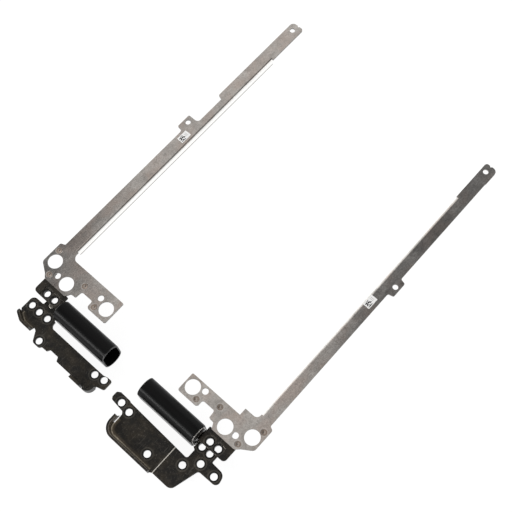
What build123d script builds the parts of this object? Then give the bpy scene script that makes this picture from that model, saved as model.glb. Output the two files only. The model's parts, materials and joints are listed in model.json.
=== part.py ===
from build123d import *

import os

# A left and a right twin-shaft laptop hinge, opened flat, side by side on the same shaft lines.
# Each hinge turns on two shafts, one above the other, inside an upright oval barrel. The upper
# shaft carries the silver lid bracket with its long arm, the lower one the black base bracket.
# Every hinge is drawn in its own frame: x grows towards the other hinge, y towards the arm's
# tip, z upwards, with 0 at the middle of the barrel, between the shafts. Millimetres.

# The pair
hinge_pitch = 45.0

# Shafts and barrel
shaft_pitch = 6.4
barrel_width = 8.2
barrel_wall = 0.6
barrel_outer_x = -13.2
barrel_inner_x = 13.5
barrel_outer_round = 0.45
barrel_mouth_break = 0.15
cap_proud = 0.3
cap_thickness = 1.5
cap_break = 0.15
shaft_radius = 2.2
shaft_flat_half = 1.75
shaft_flange_radius = 2.95
shaft_flange_thickness = 0.8
thread_radius = 1.7
thread_run_out = 0.8
thread_point = 0.3
running_gap = 0.05

# Friction stack, on each shaft
washer_radius = 3.0
washer_thickness = 0.5
link_thickness = 1.5
link_count = 2
spring_count = 4
spring_radius = 2.9
spring_thickness = 0.35
spring_dish = 0.35
nut_across_flats = 5.2
nut_thickness = 2.4

# Flat ends of the shafts, which the brackets lie on
tongue_width = 4.2
lid_tongue_thickness = 0.8
base_tongue_thickness = 1.2
tongue_start = 0.65
tongue_overlap = 0.35
tongue_end_margin = 2.3
tongue_corner = 1.6
left_tongue_x = -20.6

# Lid leaf, the black stepped plate between the shaft and the silver bracket
leaf_thickness = 0.8
leaf_step = 0.6
leaf_far_x = -26.9
leaf_near_x = -14.4
leaf_low_y = -1.2
leaf_top_y = 5.1
leaf_ear_x = -22.1
leaf_ear_y = 9.1
leaf_step_x = -24.2
leaf_step_y = 2.8
leaf_corner = 1.5
leaf_hole_x = (-18.0, -22.0)
leaf_hole_y = 1.05
screw_hole_radius = 1.35

# Silver lid bracket
lid_thickness = 0.8
foot_end_x = 3.5
foot_low_y = 7.0
foot_notch_y = 10.2
notch_near_x = -6.1
notch_far_x = -11.9
leaf_edge_y = 4.6
heel_x = -32.4
heel_top_y = 18.7
arm_outer_x = -30.5
arm_tip_y = 153.0
tab_x = -33.1
tab_low_y = 85.5
tab_high_y = 92.2
boss_hole_radius = 3.0
boss_holes = ((0.0, 11.4), (-18.7, 8.5), (-28.6, 12.1))
small_hole_radius = 1.25
small_holes = ((-4.6, 13.2), (-23.6, 8.6))
arm_hole_radius = 1.1
arm_holes = ((-31.2, 89.6), (-27.7, 149.8))
weld_radius = 1.1
weld_depth = 0.2
weld_spots = ((-4.1, 8.9), (-12.6, 12.5), (-26.4, 6.9), (-30.6, 16.2))
flange_height = 2.5
flange_bend = 1.2
flange_low_y = 20.5
flange_high_y = 134.0
flange_end_round = 1.0
label_width = 3.0
label_length = 5.0
label_thickness = 0.1
label_x = -27.8
left_label_y = 83.7
right_label_y = 78.9

# Base brackets
base_thickness = 1.0
base_sink = 0.2
base_near_x = -14.2
base_rim_height = 3.0
base_rim_round = 0.48
base_hole_radius = 1.4

# Left base bracket
left_top_y = -7.0
left_low_y = -15.0
left_knuckle_x = -22.1
left_knuckle_top_y = 2.6
left_knuckle_low_y = 0.3
left_knuckle_cut = (-17.2, -19.0)
left_ear_x = -27.5
left_ear_top_y = -2.5
left_ear_low_y = -9.1
left_heel_x = -26.6
left_heel_y = -12.9
left_heel_cut = (-22.9, -10.9)
left_heel_turn = 1.4
left_waist_x = -18.6
left_gap_x = -13.4
left_gap_y = -4.3
left_lobe_x = -11.0
left_lobe_drop = 0.8
left_corner_x = 16.2
left_corner_top_y = -12.4
left_corner_turn = 2.4
left_edge_drop = 0.6
left_tab_x = (6.7, 12.0)
left_corner_start_x = 13.4
left_rim_ramp = 1.2
left_rivet_spots = ((-19.1, -0.85), (-16.3, 0.2))
left_knuckle_holes = ((-25.2, -5.6), (-21.1, -5.8), (-16.8, -5.6))
left_screw_holes = ((-12.8, -13.8), (12.6, -8.9), (16.8, -8.1))
rivet_head_radius = 1.15
rivet_head_height = 0.5
rivet_shank_radius = 0.6

# Right base bracket
right_top_y = -7.1
right_top_slope = 1.4
right_low_y = -21.3
right_side_x = 14.9
right_step_x = -9.0
right_step_height = 0.5
right_step_run = 0.7
right_rim_end_y = -14.4
right_rim_corner = 4.3
right_relief_width = 0.5
right_relief_length = 2.4
right_foot_x = 21.4
right_foot_low_y = -11.3
right_ear_x = (-22.8, -28.9, -30.2)
right_ear_y = (-3.6, -3.9, -9.0)
right_knuckle_y = -1.85
right_knuckle_holes = (-16.2, -20.0)
right_screw_holes = (
    (-20.0, -6.7), (-15.3, -11.4), (-26.7, -6.9),
    (-3.1, -17.0), (17.2, -9.8), (12.6, -10.5),
)

# Worked out from the values above
upper_z = shaft_pitch / 2
lower_z = -shaft_pitch / 2
barrel_radius = barrel_width / 2
bore_radius = barrel_radius - barrel_wall
cap_x = barrel_outer_x - cap_proud
lid_tongue_bottom = upper_z - shaft_radius
leaf_bottom = lid_tongue_bottom + lid_tongue_thickness
lid_bottom = leaf_bottom + leaf_step + leaf_thickness
lid_top = lid_bottom + lid_thickness
base_bottom = lower_z - base_sink
base_top = base_bottom + base_thickness
base_tongue_bottom = base_bottom - base_tongue_thickness
shaft_out_x = cap_x - tongue_start
tongue_root_x = shaft_out_x + tongue_overlap
middle_y = (arm_tip_y + right_low_y - base_thickness / 2) / 2
floor_z = lower_z - barrel_radius
far = 60.0


def outline(corners):
    """A closed face from (x, y, corner radius) in the hinge's XY plane."""
    points = [(x, y) for x, y, _ in corners]
    radii = [r for _, _, r in corners]
    return make_face(FilletPolyline(*points, radius=radii, close=True))


def sheet(corners, bottom, thickness):
    """A flat sheet-metal blank."""
    return Pos(0, 0, bottom) * extrude(outline(corners), amount=thickness)


def block(x0, x1, y0, y1, z0, z1):
    """A straight-sided block between two corners."""
    size = Box(x1 - x0, y1 - y0, z1 - z0, align=(Align.MIN, Align.MIN, Align.MIN))
    return Pos(x0, y0, z0) * size


def drill(solid, spots, radius, low=-20.0, high=20.0):
    """Round holes straight down through a sheet."""
    for x, y in spots:
        solid -= Pos(x, y, low) * Cylinder(radius, high - low, align=(Align.CENTER, Align.CENTER, Align.MIN))
    return solid


def dishes(spots, radius, depth, top):
    """Balls whose lowest parts press shallow round dishes into a sheet's top face."""
    ball_radius = (radius**2 + depth**2) / (2 * depth)
    return [Pos(x, y, top - depth + ball_radius) * Sphere(ball_radius) for x, y in spots]


def along_x(face, x0, x1):
    """A face drawn as (y, z), pushed along x from x0 to x1."""
    return Pos(x0, 0, 0) * extrude(Plane.YZ * face, amount=x1 - x0)


def rod(radius, x0, x1, z):
    """A round bar along x at height z."""
    return along_x(Pos(0, z) * Circle(radius), x0, x1)


def oval(radius):
    """The barrel's upright oval, of two half rounds about the shaft lines."""
    return Rot(0, 0, 90) * SlotCenterToCenter(shaft_pitch, 2 * radius)


def flat_sided(radius, half_width):
    """A round with two flats, the section of a shaft that turns its washers."""
    return Circle(radius) & Rectangle(2 * half_width, 2 * radius)


def rim(corners, turn, bottom, ramp=0.0):
    """A wall bent up from a sheet's edge along a rounded path, its first end sloped off by ramp."""
    path = FilletPolyline(*corners, radius=turn)
    height = base_thickness + base_rim_height
    start = Plane(path @ 0, x_dir=Vector(0, 0, 1).cross(path % 0), z_dir=path % 0)
    section = Pos(0, height / 2) * Rectangle(base_thickness, height)
    section = fillet(section.vertices().group_by(Axis.Y)[0], base_rim_round)
    wall = sweep(start * section, path=path)
    if ramp:
        first = wall.edges().group_by(Axis.Z)[-1].sort_by_distance((path @ 0) + Vector(0, 0, height))[0]
        wall = chamfer(first, ramp)
    return Pos(0, 0, bottom) * wall


def stack_stations():
    """The x places along a shaft of its flange, washers, link plates, springs and nut."""
    x = cap_x + cap_thickness + running_gap
    places = {"flange": x}
    x += shaft_flange_thickness + running_gap
    washers = [x]
    links = []
    for _ in range(link_count):
        x += washer_thickness + running_gap
        links.append(x)
        x += link_thickness + running_gap
        washers.append(x)
    x += washer_thickness + running_gap
    places["springs"] = x
    x += spring_count * (spring_thickness + spring_dish) + running_gap
    washers.append(x)
    x += washer_thickness + running_gap
    places["nut"] = x
    places["end"] = x + nut_thickness + thread_run_out
    places["washers"] = washers
    places["links"] = links
    return places


stations = stack_stations()


def tongue(y, x):
    """The outline of a shaft's flat end: a strip about y that reaches out to x."""
    half = tongue_width / 2
    return [
        (tongue_root_x, y + half, 0),
        (x, y + half, tongue_corner),
        (x, y - half, tongue_corner),
        (tongue_root_x, y - half, 0),
    ]


def shaft(z, flat_end, bottom, thickness, holes):
    """One shaft: threaded end, double-flat middle, flange, journal and the flat end outside."""
    bar = rod(shaft_radius, shaft_out_x, stations["flange"], z)
    bar += rod(shaft_flange_radius, stations["flange"], stations["flange"] + shaft_flange_thickness, z)
    flats = Pos(0, z) * flat_sided(shaft_radius, shaft_flat_half)
    nut_x = stations["nut"] - running_gap
    bar += along_x(flats, stations["flange"] + shaft_flange_thickness, nut_x)
    thread = rod(thread_radius, nut_x, stations["end"], z)
    bar += chamfer(thread.edges().group_by(Axis.X)[-1], thread_point)
    return drill(bar + sheet(flat_end, bottom, thickness), holes, screw_hole_radius)


def washers(z):
    """Friction washers that turn with a shaft, held by its flats."""
    play = running_gap / 2
    ring = Pos(0, z) * (Circle(washer_radius) - flat_sided(shaft_radius + play, shaft_flat_half + play))
    return [along_x(ring, x, x + washer_thickness) for x in stations["washers"]]


def disc_springs(z):
    """Dished spring washers, laid in turn face to face and back to back."""
    bore = shaft_radius + running_gap
    pitch = spring_thickness + spring_dish
    dished = []
    for i in range(spring_count):
        x0 = stations["springs"] + i * pitch
        rise = spring_dish if i % 2 else 0.0
        fall = spring_dish - rise
        section = Polyline(
            (x0 + rise, bore),
            (x0 + fall, spring_radius),
            (x0 + fall + spring_thickness, spring_radius),
            (x0 + rise + spring_thickness, bore),
            close=True,
        )
        disc = revolve(Plane.XY * make_face(section), axis=Axis.X)
        dished.append(Pos(0, 0, z) * disc)
    return dished


def nut(z):
    """The lock nut that sets the torque."""
    hexagon = RegularPolygon(nut_across_flats / 2, 6, major_radius=False)
    face = Pos(0, z) * (Rot(0, 0, 30) * hexagon - Circle(thread_radius + running_gap / 2))
    return along_x(face, stations["nut"], stations["nut"] + nut_thickness)


def barrel_cover():
    """The thin black oval tube round both shafts, open at its inner end."""
    tube = along_x(oval(barrel_radius), barrel_outer_x, barrel_inner_x)
    tube = fillet(tube.faces().sort_by(Axis.X)[0].edges(), barrel_outer_round)
    tube = chamfer(tube.faces().sort_by(Axis.X)[-1].edges(), barrel_mouth_break)
    return tube - along_x(oval(bore_radius), barrel_outer_x, barrel_inner_x)


def journals():
    """The two bores in which the shafts run."""
    hole = Circle(shaft_radius + running_gap)
    return Pos(0, upper_z) * hole + Pos(0, lower_z) * hole


def end_plate():
    """The steel plate that closes the barrel round the shafts, standing just proud of it."""
    plate = along_x(oval(bore_radius - running_gap) - journals(), cap_x, cap_x + cap_thickness)
    return chamfer(plate.faces().sort_by(Axis.X)[0].outer_wire().edges(), cap_break)


def link_plates():
    """Figure-of-eight plates that hold the shafts apart and press on the washers."""
    face = oval(bore_radius - running_gap) - journals()
    return [along_x(face, x, x + link_thickness) for x in stations["links"]]


def lid_leaf():
    """The black plate that lies on the lid shaft's tongue and steps up under the silver bracket."""
    low = leaf_bottom
    high = low + leaf_step
    blank = [
        (leaf_near_x, leaf_low_y, 0.4),
        (leaf_near_x, leaf_top_y, 0.4),
        (leaf_ear_x, leaf_top_y, 0.4),
        (leaf_ear_x, leaf_ear_y, 0.6),
        (leaf_far_x, leaf_ear_y, 0.6),
        (leaf_far_x, leaf_low_y, leaf_corner),
    ]
    plate = sheet(blank, high, leaf_thickness)
    plate -= block(leaf_step_x, far, -far, leaf_step_y, low, lid_top)
    tray = block(leaf_step_x - leaf_step, far, -far, leaf_step_y + leaf_step, low, low + leaf_thickness)
    plate += tray & sheet(blank, low, leaf_thickness)
    plate = drill(plate, [(x, leaf_hole_y) for x in leaf_hole_x], screw_hole_radius)
    return drill(plate, [small_holes[1]], small_hole_radius)


def lid_tip(inner_x, outer_x):
    """The rounded end of the arm with its small notch."""
    middle = (inner_x + outer_x) / 2
    return [
        (inner_x, arm_tip_y, 1.1),
        (middle + 0.9, arm_tip_y, 0.25),
        (middle + 0.4, arm_tip_y - 0.6, 0.2),
        (middle - 0.1, arm_tip_y, 0.25),
        (outer_x, arm_tip_y, 1.9),
    ]


def foot_and_heel():
    """The lid bracket's edge from the heel round the leaf and the notch to the foot's end."""
    return [
        (heel_x, heel_top_y, 0.9),
        (heel_x, foot_low_y + 2.0, 1.8),
        (-28.2, leaf_edge_y + 1.6, 1.5),
        (-26.6, leaf_edge_y, 0.9),
        (-15.6, leaf_edge_y, 0.4),
        (-14.5, foot_low_y - 0.2, 0.7),
        (notch_far_x - 0.3, foot_low_y, 0.5),
        (notch_far_x, foot_notch_y, 0.9),
        (notch_near_x, foot_notch_y, 0.9),
        (notch_near_x, foot_low_y + 0.7, 0.3),
        (notch_near_x + 0.7, foot_low_y, 0.5),
        (foot_end_x, foot_low_y, 0.8),
    ]


def finish_lid_bracket(corners, inner_x):
    """Punches the lid bracket's blank, dimples its spot welds and folds the long flange down."""
    plate = sheet(corners, lid_bottom, lid_thickness)
    strip = block(inner_x - flange_bend, inner_x + 1, flange_low_y, flange_high_y, lid_bottom, lid_top)
    plate -= strip
    inside = flange_bend - lid_thickness
    down = lid_bottom - flange_height
    back_x = inner_x - lid_thickness
    root_x = inner_x - flange_bend
    bend_z = lid_top - flange_bend
    section = make_face(
        [
            Polyline((back_x, bend_z), (back_x, down), (inner_x, down), (inner_x, bend_z)),
            RadiusArc((inner_x, bend_z), (root_x, lid_top), -flange_bend),
            Line((root_x, lid_top), (root_x, lid_bottom)),
            RadiusArc((root_x, lid_bottom), (back_x, bend_z), inside),
        ]
    )
    wall = extrude(Plane.XZ.offset(-flange_high_y) * section, amount=flange_high_y - flange_low_y)
    plate += fillet(wall.edges().filter_by(Axis.X).group_by(Axis.Z)[0], flange_end_round)
    plate = drill(plate, boss_holes, boss_hole_radius)
    plate = drill(plate, small_holes, small_hole_radius)
    plate = drill(plate, arm_holes, arm_hole_radius)
    return plate - dishes(weld_spots, weld_radius, weld_depth, lid_top)


def left_lid_bracket():
    """Silver bracket of the left hinge, whose arm narrows above its tab."""
    inner_x = -24.4
    foot_top_y = 17.3
    neck_x = -28.1
    neck_top_y = 106.2
    tip_outer_x = -30.2
    corners = [
        (foot_end_x, foot_top_y, 0.5),
        (inner_x, foot_top_y, 2.4),
        *lid_tip(inner_x, tip_outer_x),
        (tip_outer_x, neck_top_y + 0.7, 0.7),
        (neck_x, neck_top_y, 0.6),
        (neck_x, tab_high_y, 1.5),
        (tab_x, tab_high_y, 0.6),
        (tab_x, tab_low_y, 0.6),
        (arm_outer_x - 0.5, tab_low_y - 0.2, 0.5),
        (arm_outer_x, tab_low_y - 1.2, 0.5),
        (arm_outer_x, heel_top_y + 0.7, 0.6),
        *foot_and_heel(),
    ]
    return finish_lid_bracket(corners, inner_x)


def right_lid_bracket():
    """Silver bracket of the right hinge, with a straight arm and a lipped tab at its elbow."""
    inner_x = -25.6
    foot_top_y = 15.2
    elbow_x = -19.8
    elbow_y = 18.2
    outer_x = -30.8
    corners = [
        (foot_end_x, foot_top_y, 0.5),
        (elbow_x, foot_top_y, 0.2),
        (elbow_x, elbow_y, 0.2),
        (inner_x, elbow_y, 1.8),
        *lid_tip(inner_x, outer_x - 0.2),
        (outer_x - 0.2, arm_tip_y - 7.0, 0.4),
        (outer_x, arm_tip_y - 8.0, 0.4),
        (outer_x, tab_high_y + 1.2, 0.9),
        (tab_x, tab_high_y + 0.7, 0.6),
        (tab_x, tab_low_y + 0.8, 0.6),
        (outer_x, tab_low_y + 0.2, 0.8),
        (outer_x, heel_top_y + 0.7, 0.6),
        *foot_and_heel(),
    ]
    lip = block(elbow_x - 4.2, elbow_x - 0.2, elbow_y - lid_thickness, elbow_y, lid_bottom - 1.2, lid_bottom)
    return finish_lid_bracket(corners, inner_x) + lip


def code_label(middle_y):
    """The small paper sticker on the arm."""
    face = RectangleRounded(label_width, label_length, 0.25)
    return Pos(label_x, middle_y, lid_top) * extrude(face, amount=label_thickness)


def left_knuckle_edge(reach):
    """The edge that the left knuckle and its shaft's flat end share, clear of the leaf's holes."""
    near, cut = left_knuckle_cut
    return [(near, left_knuckle_top_y, 0.6), (cut, left_knuckle_low_y, 0.6), (reach, left_knuckle_low_y, 0.6)]


def left_base_bracket():
    """Black bracket of the left hinge: a strip with a lobed edge and three bent-up rims."""
    edge_y = left_low_y - left_edge_drop
    lobe_y = left_low_y - left_lobe_drop
    cut_x, cut_y = left_heel_cut
    tab_start, tab_end = left_tab_x
    heel_path = [
        (left_heel_x, left_ear_low_y - 0.8),
        (left_heel_x, cut_y),
        (cut_x, left_heel_y),
        (left_waist_x, left_heel_y),
    ]
    corner_path = [
        (left_corner_start_x, edge_y),
        (left_corner_x, edge_y),
        (left_corner_x, left_corner_top_y),
    ]
    corners = [
        (base_near_x, left_knuckle_top_y, 0.6),
        *left_knuckle_edge(left_knuckle_x),
        (left_knuckle_x, left_ear_top_y, 0.5),
        (left_ear_x, left_ear_top_y, 2.0),
        (left_ear_x, left_ear_low_y, 0.5),
        (left_heel_x, left_ear_low_y - 0.9, 0.1),
        (left_heel_x, cut_y, 1.2),
        (cut_x, left_heel_y, left_heel_turn),
        (left_waist_x, left_heel_y, 0.2),
        (left_waist_x + 0.5, left_heel_y + 1.6, 0.4),
        (left_waist_x + 1.9, left_heel_y + 1.0, 1.2),
        (left_lobe_x - 3.3, lobe_y, 1.5),
        (left_lobe_x, lobe_y, 1.2),
        (left_lobe_x + 0.6, left_low_y + 0.2, 0.4),
        (left_lobe_x + 3.2, left_low_y + 0.3, 0.4),
        (left_lobe_x + 4.0, left_low_y + 1.6, 0.5),
        (left_lobe_x + 8.3, left_low_y + 1.6, 0.5),
        (left_lobe_x + 9.1, left_low_y, 0.5),
        (tab_start - 0.3, left_low_y, 0.2),
        (tab_start, edge_y, 0.2),
        (tab_end, edge_y, 0.2),
        (tab_end + 0.7, left_low_y + 0.2, 0.3),
        (left_corner_start_x, edge_y, 0.2),
        (left_corner_x, edge_y, left_corner_turn),
        (left_corner_x, left_corner_top_y + 0.6, 0.4),
        (left_corner_x + 3.2, left_corner_top_y + 1.5, 0.9),
        (left_corner_x + 3.2, left_top_y + 0.6, 0.9),
        (left_corner_x + 0.9, left_top_y + 0.5, 0.8),
        (left_corner_x - 0.9, left_top_y, 1.2),
        (left_gap_x, left_top_y, 1.7),
        (left_gap_x, left_gap_y - 0.3, 0.2),
        (base_near_x, left_gap_y, 0.2),
    ]
    plate = sheet(corners, base_bottom, base_thickness)
    heel = rim(heel_path, left_heel_turn, base_bottom, left_rim_ramp)
    corner = rim(corner_path, left_corner_turn, base_bottom)
    half = base_thickness / 2
    tab = block(tab_start, tab_end, edge_y - half, edge_y + half, base_bottom, base_top + base_rim_height)
    plate += heel + tab + corner
    plate = drill(plate, left_rivet_spots, rivet_shank_radius)
    plate = drill(plate, left_knuckle_holes, screw_hole_radius)
    return drill(plate, left_screw_holes, base_hole_radius)


def left_base_rivets():
    """Two rivets that hold the left base bracket to its shaft's tongue."""
    rivets = []
    under = base_tongue_bottom
    for x, y in left_rivet_spots:
        shank = Pos(x, y, under) * Cylinder(
            rivet_shank_radius, base_top - under, align=(Align.CENTER, Align.CENTER, Align.MIN)
        )
        head = Pos(x, y, base_top) * Cylinder(
            rivet_head_radius, rivet_head_height, align=(Align.CENTER, Align.CENTER, Align.MIN)
        )
        head = fillet(head.edges().group_by(Axis.Z)[-1], rivet_head_height * 0.6)
        rivets.append(shank + head)
    return rivets


def right_base_bracket():
    """Black bracket of the right hinge: knuckle, lobe, and a raised plate with a rim round it."""
    knuckle_top_y = right_knuckle_y + tongue_width / 2
    ear_near, ear_x, ear_far = right_ear_x
    ear_near_y, ear_top_y, ear_low_y = right_ear_y
    low_edge_y = right_low_y + 0.6
    corners = [
        (base_near_x, knuckle_top_y, 0.5),
        (ear_near, knuckle_top_y, 0.8),
        (ear_near, ear_near_y, 0.5),
        (ear_x, ear_top_y, 2.4),
        (ear_far, ear_low_y, 1.8),
        (-21.2, ear_low_y - 0.2, 1.2),
        (-18.0, low_edge_y, 2.6),
        (right_step_x, low_edge_y, 0.3),
        (right_step_x + 1.0, right_low_y, 0.3),
        (right_side_x, right_low_y, right_rim_corner),
        (right_side_x, right_rim_end_y, 0.2),
        (right_side_x - 1.1, right_rim_end_y + 1.4, 0.5),
        (right_side_x - 0.2, right_foot_low_y - 0.6, 0.5),
        (right_foot_x - 0.7, right_foot_low_y, 0.8),
        (right_foot_x, right_foot_low_y + 1.0, 0.6),
        (right_foot_x, right_top_y - 0.9, 0.8),
        (right_foot_x - 1.4, right_top_y, 0.6),
        (right_side_x + 0.4, right_top_y - 0.1, 0.2),
        (right_side_x - 0.2, right_top_y - 0.4, 0.2),
        (-14.9, right_top_y - right_top_slope, 0.9),
        (-14.9, -4.5, 0.4),
        (base_near_x + 0.5, -3.8, 0.3),
        (base_near_x, -3.0, 0.2),
    ]
    high_bottom = base_bottom + right_step_height
    high_top = base_top + right_step_height
    foot_x = right_step_x - right_step_run
    section = Polyline(
        (-far, base_bottom),
        (foot_x, base_bottom),
        (right_step_x, high_bottom),
        (far, high_bottom),
        (far, high_top),
        (right_step_x, high_top),
        (foot_x, base_top),
        (-far, base_top),
        close=True,
    )
    stepped = extrude(Plane.XZ * make_face(section), amount=far, both=True)
    plate = stepped & sheet(corners, base_bottom, 2 * base_thickness)
    wall = [(right_side_x, right_rim_end_y), (right_side_x, right_low_y), (right_step_x + 1.0, right_low_y)]
    plate += rim(wall, right_rim_corner, high_bottom)
    relief_x = right_side_x - base_thickness / 2
    relief_y = right_rim_end_y - right_relief_length
    relief_start = relief_x - right_relief_width
    plate -= block(relief_start, relief_x, relief_y, right_rim_end_y + 1, base_bottom, high_top)
    plate = drill(plate, [(x, right_knuckle_y) for x in right_knuckle_holes], screw_hole_radius)
    return drill(plate, right_screw_holes, base_hole_radius)


def shared_pieces():
    """The pieces that both hinges have alike, in the hinge's own frame."""
    lid_tongue_x = min(leaf_hole_x) - tongue_end_margin
    lid_holes = [(x, leaf_hole_y) for x in leaf_hole_x]
    return {
        "lid_leaf": lid_leaf(),
        "lid_shaft": shaft(
            upper_z, tongue(leaf_hole_y, lid_tongue_x), lid_tongue_bottom, lid_tongue_thickness, lid_holes
        ),
        "lid_washers": washers(upper_z),
        "lid_disc_springs": disc_springs(upper_z),
        "lid_nut": nut(upper_z),
        "barrel_cover": barrel_cover(),
        "end_plate": end_plate(),
        "link_plates": link_plates(),
        "base_washers": washers(lower_z),
        "base_disc_springs": disc_springs(lower_z),
        "base_nut": nut(lower_z),
    }


def left_pieces():
    """The left hinge's own pieces."""
    flat_end = [
        (tongue_root_x, left_knuckle_top_y, 0),
        *left_knuckle_edge(left_tongue_x),
        (left_tongue_x, left_ear_top_y, 0.6),
        (tongue_root_x, left_ear_top_y, 0),
    ]
    bar = shaft(lower_z, flat_end, base_tongue_bottom, base_tongue_thickness, [])
    return {
        "lid_bracket": left_lid_bracket(),
        "code_label": code_label(left_label_y),
        "base_bracket": left_base_bracket(),
        "base_rivets": left_base_rivets(),
        "base_shaft": drill(bar, left_rivet_spots, rivet_shank_radius),
    }


def right_pieces():
    """The right hinge's own pieces."""
    tongue_x = min(right_knuckle_holes) - tongue_end_margin
    holes = [(x, right_knuckle_y) for x in right_knuckle_holes]
    return {
        "lid_bracket": right_lid_bracket(),
        "code_label": code_label(right_label_y),
        "base_bracket": right_base_bracket(),
        "base_shaft": shaft(
            lower_z, tongue(right_knuckle_y, tongue_x), base_tongue_bottom, base_tongue_thickness, holes
        ),
    }


def placed(piece, side):
    """Moves a piece from the hinge's frame to the pair's, mirroring it for the right hinge."""
    if side == "right":
        piece = mirror(piece, about=Plane.YZ)
    step = -hinge_pitch / 2 if side == "left" else hinge_pitch / 2
    return Pos(step, -middle_y, -floor_z) * piece


def write(name, pieces):
    """Writes one node, of one solid or of a group of loose ones."""
    solids = []
    for piece in pieces:
        solids.extend(piece.solids())
    node = solids[0] if len(solids) == 1 else Compound(children=solids)
    node.label = name
    export_step(node, f"parts/{name}.step")


def main():
    os.makedirs("parts", exist_ok=True)
    shared = shared_pieces()
    for side, own in (("left", left_pieces()), ("right", right_pieces())):
        for name, pieces in {**shared, **own}.items():
            group = pieces if isinstance(pieces, list) else [pieces]
            write(f"{side}_{name}", [placed(piece, side) for piece in group])


main()
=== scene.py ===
import json
import math

import bpy
from mathutils import Matrix, Vector

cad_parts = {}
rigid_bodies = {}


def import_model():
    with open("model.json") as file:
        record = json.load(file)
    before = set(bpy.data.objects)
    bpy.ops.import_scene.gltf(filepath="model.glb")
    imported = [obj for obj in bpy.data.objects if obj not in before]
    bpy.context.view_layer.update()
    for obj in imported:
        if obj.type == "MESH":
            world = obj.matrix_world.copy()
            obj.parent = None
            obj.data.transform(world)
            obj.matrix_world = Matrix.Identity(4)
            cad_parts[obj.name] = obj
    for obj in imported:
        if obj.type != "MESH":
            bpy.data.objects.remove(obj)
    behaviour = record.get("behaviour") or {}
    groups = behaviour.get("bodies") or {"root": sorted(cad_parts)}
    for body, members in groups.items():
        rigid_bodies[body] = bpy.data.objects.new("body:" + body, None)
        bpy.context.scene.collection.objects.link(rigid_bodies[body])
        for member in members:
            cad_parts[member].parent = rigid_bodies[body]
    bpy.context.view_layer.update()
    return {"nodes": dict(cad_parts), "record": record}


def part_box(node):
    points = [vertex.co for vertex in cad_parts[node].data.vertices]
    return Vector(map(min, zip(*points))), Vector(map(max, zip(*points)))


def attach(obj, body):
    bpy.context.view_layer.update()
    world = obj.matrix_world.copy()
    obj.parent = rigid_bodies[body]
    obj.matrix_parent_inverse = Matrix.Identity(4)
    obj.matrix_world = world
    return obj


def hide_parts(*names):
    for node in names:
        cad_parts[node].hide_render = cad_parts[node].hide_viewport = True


# A left and a right twin-shaft laptop hinge, dressed as stamped plated steel, black coated steel
# and matt black barrels. Lengths are in metres.
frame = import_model()
SIDES = ("left", "right")
MM = 0.001

# Places in a hinge's own frame, in millimetres, from the middle of its shafts: x grows towards the
# other hinge, y towards the arm's tip.
BARREL_MOUTH = 13.5
WELDS = ((-4.1, 8.9), (-12.6, 12.5), (-26.4, 6.9), (-30.6, 16.2))
LEAF_HOLES = ((-18.0, 1.05), (-22.0, 1.05))
BASE_HOLES = {
    "left": ((-25.2, -5.6), (-21.1, -5.8), (-16.8, -5.6), (-12.8, -13.8), (12.6, -8.9), (16.8, -8.1)),
    "right": (
        (-16.2, -1.85), (-20.0, -1.85), (-20.0, -6.7), (-15.3, -11.4),
        (-26.7, -6.9), (-3.1, -17.0), (17.2, -9.8), (12.6, -10.5),
    ),
}
# The bent-up rim of each base bracket: the corner of its outline, the heading in degrees and the reach
# in millimetres of each side round that corner, the box that the bend lies in, and how strong its painted
# highlight is.
RIMS = {
    "left": {
        "corner": (-26.6, -12.9),
        "sides": ((180.0, 0.0), (241.6, -1.76), (270.0, 0.0)),
        "box": ((-27.0, -13.5), (-18.6, -9.4)),
        "glint": 0.35,
    },
    "right": {
        "corner": (14.9, -21.3),
        "sides": ((180.0, 0.0), (202.5, -1.32), (225.0, -1.78), (247.5, -1.32), (270.0, 0.0)),
        "box": ((-7.6, -21.5), (15.0, -14.6)),
        "glint": 1.0,
    },
}
# The pressed step across the right base bracket lies between these two places along x.
STEP = (-9.26, -9.0)

# Distances on the pieces, in millimetres.
FOLDED_DEPTH = 1.0  # what lies lower than this under the silver sheet's face is its folded flange
CUT_HEIGHT = 0.55  # how far the flange's dull cut reaches up from its lowest edge
CUT_FADE = 0.15
BEND_STRIP = 9.0  # the least face of the flange's long bend, in square millimetres
MOUTH_REACH = 2.0  # edges nearer the barrel's mouth than this belong to the mouth
PAPER_BREAK = 0.03
CODE_CELL = 0.42

# What heat and wear leave on the metal, then the painted highlights along bends and a pressed step.
SCORCHED = (0.25, 0.175, 0.125)
HEAT_TINT = (0.36, 0.28, 0.22)
DULL_CUT = (0.20, 0.185, 0.165)
RUBBED_BROWN = (0.105, 0.09, 0.072)
RUBBED_GREY = (0.20, 0.185, 0.16)
SCRATCHED = (0.17, 0.158, 0.137)
SCREW_RUB = (0.24, 0.22, 0.19)
# Painted highlights: a haze and a bright line along each rim's bend, a thin line on its crest, and a pale
# line along the pressed step.
HIGHLIGHT_HAZE = (0.27, 0.215, 0.145)
BEND_HIGHLIGHT = (0.72, 0.64, 0.50)
CREST_HIGHLIGHT = (0.30, 0.28, 0.25)
STEP_HIGHLIGHT = (0.80, 0.76, 0.68)

# Light and lens.
FLOOR_GLOW = 1.1
FLOOR_SEEN = 0.84  # the glow's share where the camera sees the floor, the rest being lit and shaded
SENSOR = 36.0  # millimetres

bl_info = {
    "name": "Laptop hinge pair",
    "version": (1, 0, 0),
    "blender": (4, 5, 0),
    "location": "3D View > Sidebar > Hinges",
    "description": "Dresses a pair of twin-shaft laptop hinges and sets the stage for them",
    "category": "Object",
}


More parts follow.
